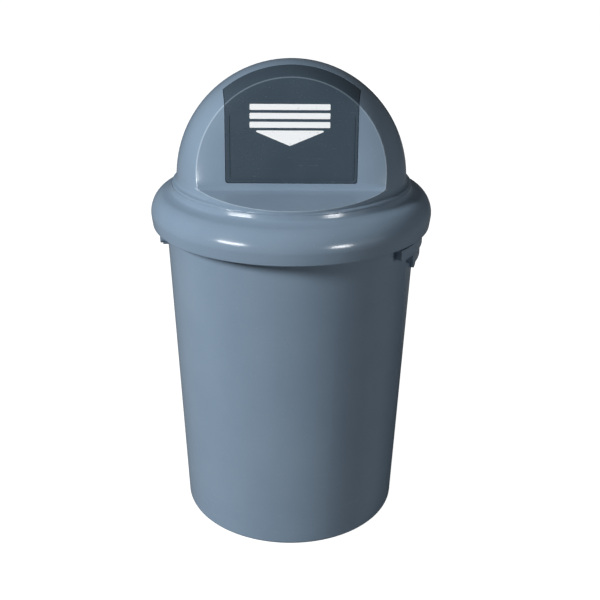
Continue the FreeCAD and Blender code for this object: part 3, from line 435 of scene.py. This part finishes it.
def makeTurnGroup(closed):
    # Sweeps a sheet of quads round the axis: across it the outline's points, along it the turn.
    tree = Tree("turnOutlineRing" if closed else "turnOutline", {
        "Segments": "NodeSocketInt", "Merge Distance": "NodeSocketFloat", "Finish": "NodeSocketMaterial"})
    outline = tree.given("Geometry")
    place = tree.node("GeometryNodeInputPosition")
    count = tree.node("GeometryNodeAttributeDomainSize", {"component": "MESH"}, {0: outline})
    across = tree.work("ADD", count, 1.0 if closed else 0.0)
    columns = tree.work("ADD", tree.given("Segments"), 1.0)
    sheet = tree.node("GeometryNodeMeshGrid", {}, {0: 1.0, 1: 1.0, 2: columns, 3: across})
    # The sheet is one metre square about its middle, so half a metre more makes its places shares.
    onSheet = tree.node("ShaderNodeSeparateXYZ", {}, {0: place}).node.outputs
    turn = tree.work("MULTIPLY", tree.work("ADD", onSheet[0], 0.5), math.tau)
    steps = tree.work("SUBTRACT", across, 1.0)
    number = tree.work("ROUND", tree.work("MULTIPLY", tree.work("ADD", onSheet[1], 0.5), steps))
    number = tree.work("MODULO", number, count)
    point = tree.node("GeometryNodeSampleIndex", {"data_type": "FLOAT_VECTOR", "domain": "POINT"},
                      {"Geometry": outline, "Value": place, "Index": number})
    found = tree.node("ShaderNodeSeparateXYZ", {}, {0: point}).node.outputs
    x = tree.work("MULTIPLY", found[0], tree.work("COSINE", turn))
    y = tree.work("MULTIPLY", found[0], tree.work("SINE", turn))
    swept = tree.node("ShaderNodeCombineXYZ", {}, {0: x, 1: y, 2: found[2]})
    shaped = tree.node("GeometryNodeSetPosition", {}, {"Geometry": sheet, "Position": swept})
    merged = tree.node("GeometryNodeMergeByDistance", {}, {"Geometry": shaped,
                                                           "Distance": tree.given("Merge Distance")})
    coated = tree.node("GeometryNodeSetMaterial", {}, {"Geometry": merged, "Material": tree.given("Finish")})
    tree.finishWith(tree.node("GeometryNodeRealizeInstances", {}, {0: coated}))
    return tree


turnGroups = {closed: makeTurnGroup(closed) for closed in (True, False)}


def evaluate(name, baseMesh, tree, sizes):
    # Runs a node tree once and keeps its result as a plain mesh.
    worker = bpy.data.objects.new(name, baseMesh)
    bpy.context.scene.collection.objects.link(worker)
    modifier = worker.modifiers.new("shape", "NODES")
    modifier.node_group = tree.group
    for label, value in sizes.items():
        modifier[tree.identifiers[label]] = value
    bpy.context.view_layer.update()
    ready = worker.evaluated_get(bpy.context.evaluated_depsgraph_get())
    shaped = bpy.data.meshes.new_from_object(ready)
    worker.modifiers.clear()
    worker.data = shaped
    return worker


def finishFaces(piece):
    # Merges doubles, turns all faces outward, and leaves only steep edges crisp.
    shape = bmesh.new()
    shape.from_mesh(piece.data)
    bmesh.ops.remove_doubles(shape, verts=shape.verts, dist=meshing["doubles"] * mm)
    bmesh.ops.dissolve_degenerate(shape, edges=shape.edges, dist=meshing["slivers"] * mm)
    bmesh.ops.recalc_face_normals(shape, faces=shape.faces)
    for face in shape.faces:
        face.smooth = True
    crisp = math.radians(meshing["crispAngle"])
    for edge in shape.edges:
        edge.smooth = len(edge.link_faces) != 2 or edge.calc_face_angle() < crisp
    shape.to_mesh(piece.data)
    shape.free()


def turned(name, corners, closed, paint):
    sizes = {"Segments": meshing["segments"], "Merge Distance": meshing["poleMerge"] * mm, "Finish": paint}
    piece = evaluate(name, outlineOf(corners, closed), turnGroups[closed], sizes)
    finishFaces(piece)
    return piece


def levelsOf(name):
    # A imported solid's lowest and highest level.
    low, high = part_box(name)
    return low[2] / mm, high[2] / mm


# The tub: a raised floor inside a foot ring, a leaning wall and a rim turned over into a lip.
tubSizes = {"base": 178.0, "rim": 197.3, "height": levelsOf("bin_body")[1], "wall": 3.0, "floor": 3.6,
            "rise": 8.0, "ring": 9.0, "slope": 8.0, "corner": 6.0, "cornerSteps": 8, "lip": 9.0,
            "lipDrop": 11.5, "lipWall": 2.6, "lipRound": 2.0, "edge": 0.5, "bend": 1.0, "floorBend": 2.0}


def tubCorners(size):
    lean = (size["rim"] - size["base"]) / size["height"]
    outer = size["base"] - size["corner"]
    inner = outer - size["ring"]
    rise = inner - size["slope"]
    lipOut = size["rim"] + size["lip"]
    lipIn = lipOut - size["lipWall"]
    lipLow = size["height"] - size["lipDrop"]
    under = size["height"] - size["lipWall"]
    floorTop = size["floor"] + size["corner"]
    inside = size["base"] + lean * floorTop - size["wall"]
    floorEnd = (inside - size["corner"], size["floor"])
    half = size["floor"] / 2
    bend = size["bend"]

    def bent(start, end, height):
        # Round corner of a wall that leaves the ground or the floor, nearly a quarter circle.
        sag = size["corner"] * (1 - math.sqrt(0.5))
        return arcThrough(start, (end[0] - sag, height + sag), end, size["cornerSteps"])

    wallFoot = (size["base"] + lean * size["corner"], size["corner"])
    corners = [(0, size["rise"]), (rise, size["rise"], size["floorBend"]), (inner, 0, bend), (outer, 0)]
    corners += bent((outer, 0), wallFoot, 0)
    corners += [(size["base"] + lean * under, under, bend), (lipIn, under, bend),
                (lipIn, lipLow, size["edge"]), (lipOut, lipLow, size["edge"]),
                (lipOut, size["height"], size["lipRound"]),
                (size["rim"] - size["wall"], size["height"], bend)]
    corners += [floorEnd, *bent(floorEnd, (inside, floorTop), size["floor"])][::-1]
    corners += [(inner + half, size["floor"], bend), (rise + half, size["rise"] + size["floor"], bend),
                (0, size["rise"] + size["floor"])]
    return corners


tub = turned("turnedTub", tubCorners(tubSizes), False, shellPaint)
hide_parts("bin_body")
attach(tub, "bin")
print("tub turned", len(tub.data.polygons), "faces")


# The collar: a hollow bulge over the rim, with the ledge for the dome and the ring that finds the tub.
# hollow says how far out and down from the mouth's edge the hollow under the dome's foot runs. bulge gives
# places on the bulge, as shares of its way out from that edge and of its height.
collarSizes = {"mouth": 186.2, "reach": 219.9, "low": levelsOf("lid_collar")[0], "height": 66.0,
               "hollow": [(0.75, 3.3), (1.75, 6.7), (3.7, 8.9), (9.0, 11.4)], "hollowSteps": 5,
               "bulge": {"hollowEnd": (0.541, 0.774), "shoulder": (0.772, 0.664), "wallStart": (0.923, 0.523),
                         "wall": (0.983, 0.419), "belly": (1.0, 0.310), "tuck": (0.973, 0.178)},
               "bulgeSteps": 10, "skirt": 217.8, "skirtLift": 3.0, "skirtSteps": 12, "wall": 2.8,
               "wallDrop": 1.2, "throat": 169.0, "ledge": 2.8, "ledgeDepth": 5.0, "ringOut": 192.5,
               "ringWall": 2.6, "ringLow": 500.0, "ringClear": 0.5,
               "rounds": {"mouth": 0.5, "skirt": 0.9, "ringRoot": 0.8, "ring": 1.1, "ringInside": 0.5,
                          "curb": 0.3, "throat": 0.9},
               "ribs": 12, "ribWall": 1.8, "ribReach": 8.0, "ribLow": tubSizes["height"]}


def softCurve(spots, steps):
    # A curve through all the spots: each stretch bends with the slopes of its neighbours.
    path = [spots[0]]
    for index in range(len(spots) - 1):
        before = Vector(spots[max(index - 1, 0)])
        start = Vector(spots[index])
        end = Vector(spots[index + 1])
        after = Vector(spots[min(index + 2, len(spots) - 1)])
        for step in range(1, steps + 1):
            share = step / steps
            path.append(tuple(0.5 * (2 * start + (end - before) * share
                                     + (2 * before - 5 * start + 4 * end - after) * share ** 2
                                     + (3 * start - before - 3 * end + after) * share ** 3)))
    return path


def collarSkin(size, inset, drop):
    # From the mouth's edge down the hollow, over the bulge in arcs, and down the nearly straight skirt.
    # inset and drop take the inner skin in from the outer one.
    mouth = size["mouth"]
    width = size["reach"] - inset - mouth
    height = size["height"] - drop
    top = size["low"] + height
    bulge = {spot: (mouth + width * out, size["low"] + height * up)
             for spot, (out, up) in size["bulge"].items()}
    hollow = [(mouth, top)] + [(mouth + out, top - down) for out, down in size["hollow"]]
    # The shoulder only gives the hollow's curve its slope at the end: the arc below leads there.
    path = softCurve(hollow + [bulge["hollowEnd"], bulge["shoulder"]], size["hollowSteps"])
    path = path[:-size["hollowSteps"]]
    path += arcThrough(bulge["hollowEnd"], bulge["shoulder"], bulge["wallStart"], size["bulgeSteps"])
    path += arcThrough(bulge["wallStart"], bulge["wall"], bulge["belly"], size["bulgeSteps"])
    skirtEnd = (size["skirt"] - inset, size["low"] + size["skirtLift"])
    return path + arcThrough(bulge["belly"], bulge["tuck"], skirtEnd, size["skirtSteps"])


def skinHeight(path, radius):
    # Height of the skin over a radius, on its way out.
    for (ax, az), (bx, bz) in zip(path, path[1:]):
        if ax <= radius <= bx:
            return az + (bz - az) * (radius - ax) / (bx - ax)


def collarCorners(size):
    rounds = size["rounds"]
    outside = collarSkin(size, 0, 0)
    inside = collarSkin(size, size["wall"], size["wall"] * size["wallDrop"])
    ledgeTop = size["low"] + size["height"] - size["ledgeDepth"]
    ledgeLow = ledgeTop - size["ledge"]
    curb = size["mouth"] + size["wall"] / 2
    ringOut = size["ringOut"]
    ringIn = ringOut - size["ringWall"]
    corners = [(*outside[0], rounds["mouth"])] + outside[1:-1]
    corners += [(*outside[-1], rounds["skirt"]), (*inside[-1], rounds["skirt"])]
    corners += [spot for spot in inside[-2:0:-1] if spot[0] > ringOut + size["ringClear"]]
    corners += [(ringOut, skinHeight(inside, ringOut), rounds["ringRoot"]),
                (ringOut, size["ringLow"], rounds["ring"]), (ringIn, size["ringLow"], rounds["ring"]),
                (ringIn, skinHeight(inside, ringIn), rounds["ringInside"]),
                (curb, skinHeight(inside, curb), rounds["curb"]), (curb, ledgeLow, rounds["curb"]),
                (size["throat"], ledgeLow, rounds["throat"]), (size["throat"], ledgeTop, rounds["throat"]),
                (size["mouth"], ledgeTop, rounds["curb"])]
    return corners


def makeRibGroup():
    # Instances one rib round the axis, half a step off the flap's side.
    tree = Tree("ribsRound", {"Count": "NodeSocketInt", "Finish": "NodeSocketMaterial"})
    step = tree.work("DIVIDE", math.tau, tree.given("Count"))
    turn = tree.work("MULTIPLY", tree.work("ADD", tree.node("GeometryNodeInputIndex"), 0.5), step)
    points = tree.node("GeometryNodePoints", {}, {"Count": tree.given("Count")})
    spin = tree.node("ShaderNodeCombineXYZ", {}, {2: turn})
    placed = tree.node("GeometryNodeInstanceOnPoints", {},
                       {"Points": points, "Instance": tree.given("Geometry"), "Rotation": spin})
    coated = tree.node("GeometryNodeSetMaterial", {}, {"Geometry": placed, "Material": tree.given("Finish")})
    tree.finishWith(tree.node("GeometryNodeRealizeInstances", {}, {0: coated}))
    return tree


def collarRibs(size, paint):
    # One upright rib: it rests on the tub's rim, stands against the ring and runs up into the skin.
    inside = collarSkin(size, size["wall"] / 2, size["wall"] / 2 * size["wallDrop"])
    near = size["ringOut"] - size["ringWall"] / 2
    far = size["ringOut"] + size["ribReach"]
    half = size["ribWall"] / 2
    low = size["ribLow"]
    side = [(near, low), (far, low), (far, skinHeight(inside, far)), (near, skinHeight(inside, near))]
    points = [(x * mm, face * half * mm, z * mm) for face in (-1, 1) for x, z in side]
    faces = [(0, 1, 2, 3), (7, 6, 5, 4), (0, 4, 5, 1), (1, 5, 6, 2), (2, 6, 7, 3), (3, 7, 4, 0)]
    mesh = bpy.data.meshes.new("rib")
    mesh.from_pydata(points, [], faces)
    piece = evaluate("collarRibs", mesh, makeRibGroup(), {"Count": size["ribs"], "Finish": paint})
    finishFaces(piece)
    return piece


collar = turned("turnedCollar", collarCorners(collarSizes), True, shellPaint)
ribs = collarRibs(collarSizes, shellPaint)
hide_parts("lid_collar")
for piece in (collar, ribs):
    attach(piece, "lid")
print("collar turned", len(collar.data.polygons), "faces,", collarSizes["ribs"], "ribs")


# The print on the flap: plain bars over a triangle. out is the distance of the flap's face from the dome's
# centre, lift is how far the ink stands proud of it, and the heights run up the face from beside that centre.
printSizes = {"out": 113.526, "lift": 0.05, "middle": -2.4, "bars": 3, "barWidth": 116.0, "barHeight": 8.4,
              "barStep": 12.6, "barLow": 66.2, "triangleWidth": 107.0, "triangleTop": 62.4,
              "triangleLow": 40.4, "corner": 1.2, "cornerSteps": 6}


def facePoint(x, along, out):
    # A point of the leaning face as Blender sees it.
    lean = math.radians(domeFace["lean"])
    y = along * math.sin(lean) - out * math.cos(lean)
    z = domeFace["centre"] + along * math.cos(lean) + out * math.sin(lean)
    return (x * mm, y * mm, z * mm)


def printShapes(size):
    # Corners counter-clockwise as seen from the front.
    left = size["middle"] - size["barWidth"] / 2
    right = size["middle"] + size["barWidth"] / 2
    lows = [size["barLow"] + step * size["barStep"] for step in range(size["bars"])]
    bars = [[(left, low), (right, low), (right, low + size["barHeight"]), (left, low + size["barHeight"])]
            for low in lows]
    side = size["triangleWidth"] / 2
    triangle = [(size["middle"], size["triangleLow"]), (size["middle"] + side, size["triangleTop"]),
                (size["middle"] - side, size["triangleTop"])]
    return bars + [triangle]


def flapPrint(size, paint):
    # Each shape is a thin slab of ink with round corners.
    shape = bmesh.new()
    for corners in printShapes(size):
        rim = []
        for index, corner in enumerate(corners):
            after = corners[(index + 1) % len(corners)]
            rim += roundCorner(corners[index - 1], corner, after, size["corner"], size["cornerSteps"])
        front = [shape.verts.new(facePoint(x, along, size["out"] + size["lift"])) for x, along in rim]
        back = [shape.verts.new(facePoint(x, along, size["out"] - size["lift"])) for x, along in rim]
        shape.faces.new(front)
        shape.faces.new(back[::-1])
        for index in range(len(rim)):
            shape.faces.new((front[index - 1], back[index - 1], back[index], front[index]))
    mesh = bpy.data.meshes.new("flapPrint")
    shape.to_mesh(mesh)
    shape.free()
    mesh.materials.append(paint)
    piece = bpy.data.objects.new("flapPrint", mesh)
    bpy.context.scene.collection.objects.link(piece)
    finishFaces(piece)
    return piece


mark = flapPrint(printSizes, inkPaint)
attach(mark, "flap")
print("print laid on the flap")


# The camera of the photo: its place in metres, its pitch and roll in degrees, its lens in millimetres.
cameraPlace = {"distance": 1.42559, "height": 0.96105, "pitch": 67.01, "roll": 0.30, "lens": 56.21,
               "sensor": 36, "shift": 0.0155}
camera = bpy.data.objects.new("photoCamera", bpy.data.cameras.new("photoCamera"))
bpy.context.scene.collection.objects.link(camera)
camera.data.lens = cameraPlace["lens"]
camera.data.sensor_width = cameraPlace["sensor"]
camera.data.shift_x = cameraPlace["shift"]
camera.matrix_world = (Matrix.Translation((0, -cameraPlace["distance"], cameraPlace["height"]))
                       @ Matrix.Rotation(math.radians(cameraPlace["pitch"]), 4, "X")
                       @ Matrix.Rotation(math.radians(cameraPlace["roll"]), 4, "Z"))
bpy.context.scene.camera = camera

# The floor, just under the bin's foot: white to the camera, and a plain grey for the light.
floorLook = {"half": 12000, "height": -0.2, "colour": (118, 119, 120), "roughness": 0.9}
floorCorners = [(x * floorLook["half"] * mm, y * floorLook["half"] * mm, floorLook["height"] * mm)
                for x, y in ((-1, -1), (1, -1), (1, 1), (-1, 1))]
floorMesh = bpy.data.meshes.new("floor")
floorMesh.from_pydata(floorCorners, [], [(0, 1, 2, 3)])
floor = bpy.data.objects.new("floor", floorMesh)
bpy.context.scene.collection.objects.link(floor)
floorPaint = Paint(bpy.data.materials.new("paleFloor"))
cameraRay = floorPaint.make("ShaderNodeLightPath", output="Is Camera Ray")
floorPaint.set({"Base Color": linear(*floorLook["colour"]), "Roughness": floorLook["roughness"],
                "Emission Color": floorPaint.blend(cameraRay, black, white), "Emission Strength": 1.0})
floorMesh.materials.append(floorPaint.owner)

# The world is white to the camera too, and gives the bin only a little light.
worldLevels = {"seen": 1.0, "light": 0.035}
world = bpy.data.worlds.new("studio")
bpy.context.scene.world = world
studio = Paint(world, "Background")
cameraRay = studio.make("ShaderNodeLightPath", output="Is Camera Ray")
strength = studio.span(cameraRay, 0.0, 1.0, worldLevels["light"], worldLevels["seen"])
studio.set({"Color": white, "Strength": strength})


def softBox(name, place, aim, width, height, power):
    lamp = bpy.data.lights.new(name, "AREA")
    lamp.shape = "RECTANGLE"
    lamp.size = width
    lamp.size_y = height
    lamp.energy = power
    holder = bpy.data.objects.new(name, lamp)
    bpy.context.scene.collection.objects.link(holder)
    holder.location = place
    holder.rotation_mode = "QUATERNION"
    holder.rotation_quaternion = (Vector(aim) - Vector(place)).to_track_quat("-Z", "Y")
    return holder


# Each light's turn from the front (left is negative) and rise in degrees, its distance, width and height in
# metres, and its power. The broad ones shade the bin, and the two sparks are what its gloss shows.
lightPlan = {"broadLeft": (-56, 29, 7.0, 1.9, 1.9, 605), "broadRight": (66, 5, 4.0, 1.2, 1.2, 29),
             "broadBack": (165, 4, 4.0, 1.6, 1.6, 16), "sparkLeft": (-46, 10, 3.0, 1.1, 0.4, 38),
             "sparkRight": (37.5, 4.5, 3.0, 0.7, 0.4, 25)}
lidMiddle = (0, 0, 0.53)      # all lights aim here, in metres
for name, (turn, rise, distance, width, height, power) in lightPlan.items():
    flat = distance * math.cos(math.radians(rise))
    place = (flat * math.sin(math.radians(turn)), -flat * math.cos(math.radians(turn)),
             lidMiddle[2] + distance * math.sin(math.radians(rise)))
    lamp = softBox(name, place, lidMiddle, width, height, power)
    lamp.visible_glossy = name.startswith("spark")
    lamp.visible_diffuse = name.startswith("broad")
bpy.context.scene.view_settings.view_transform = "Standard"
print("camera, floor and light placed")
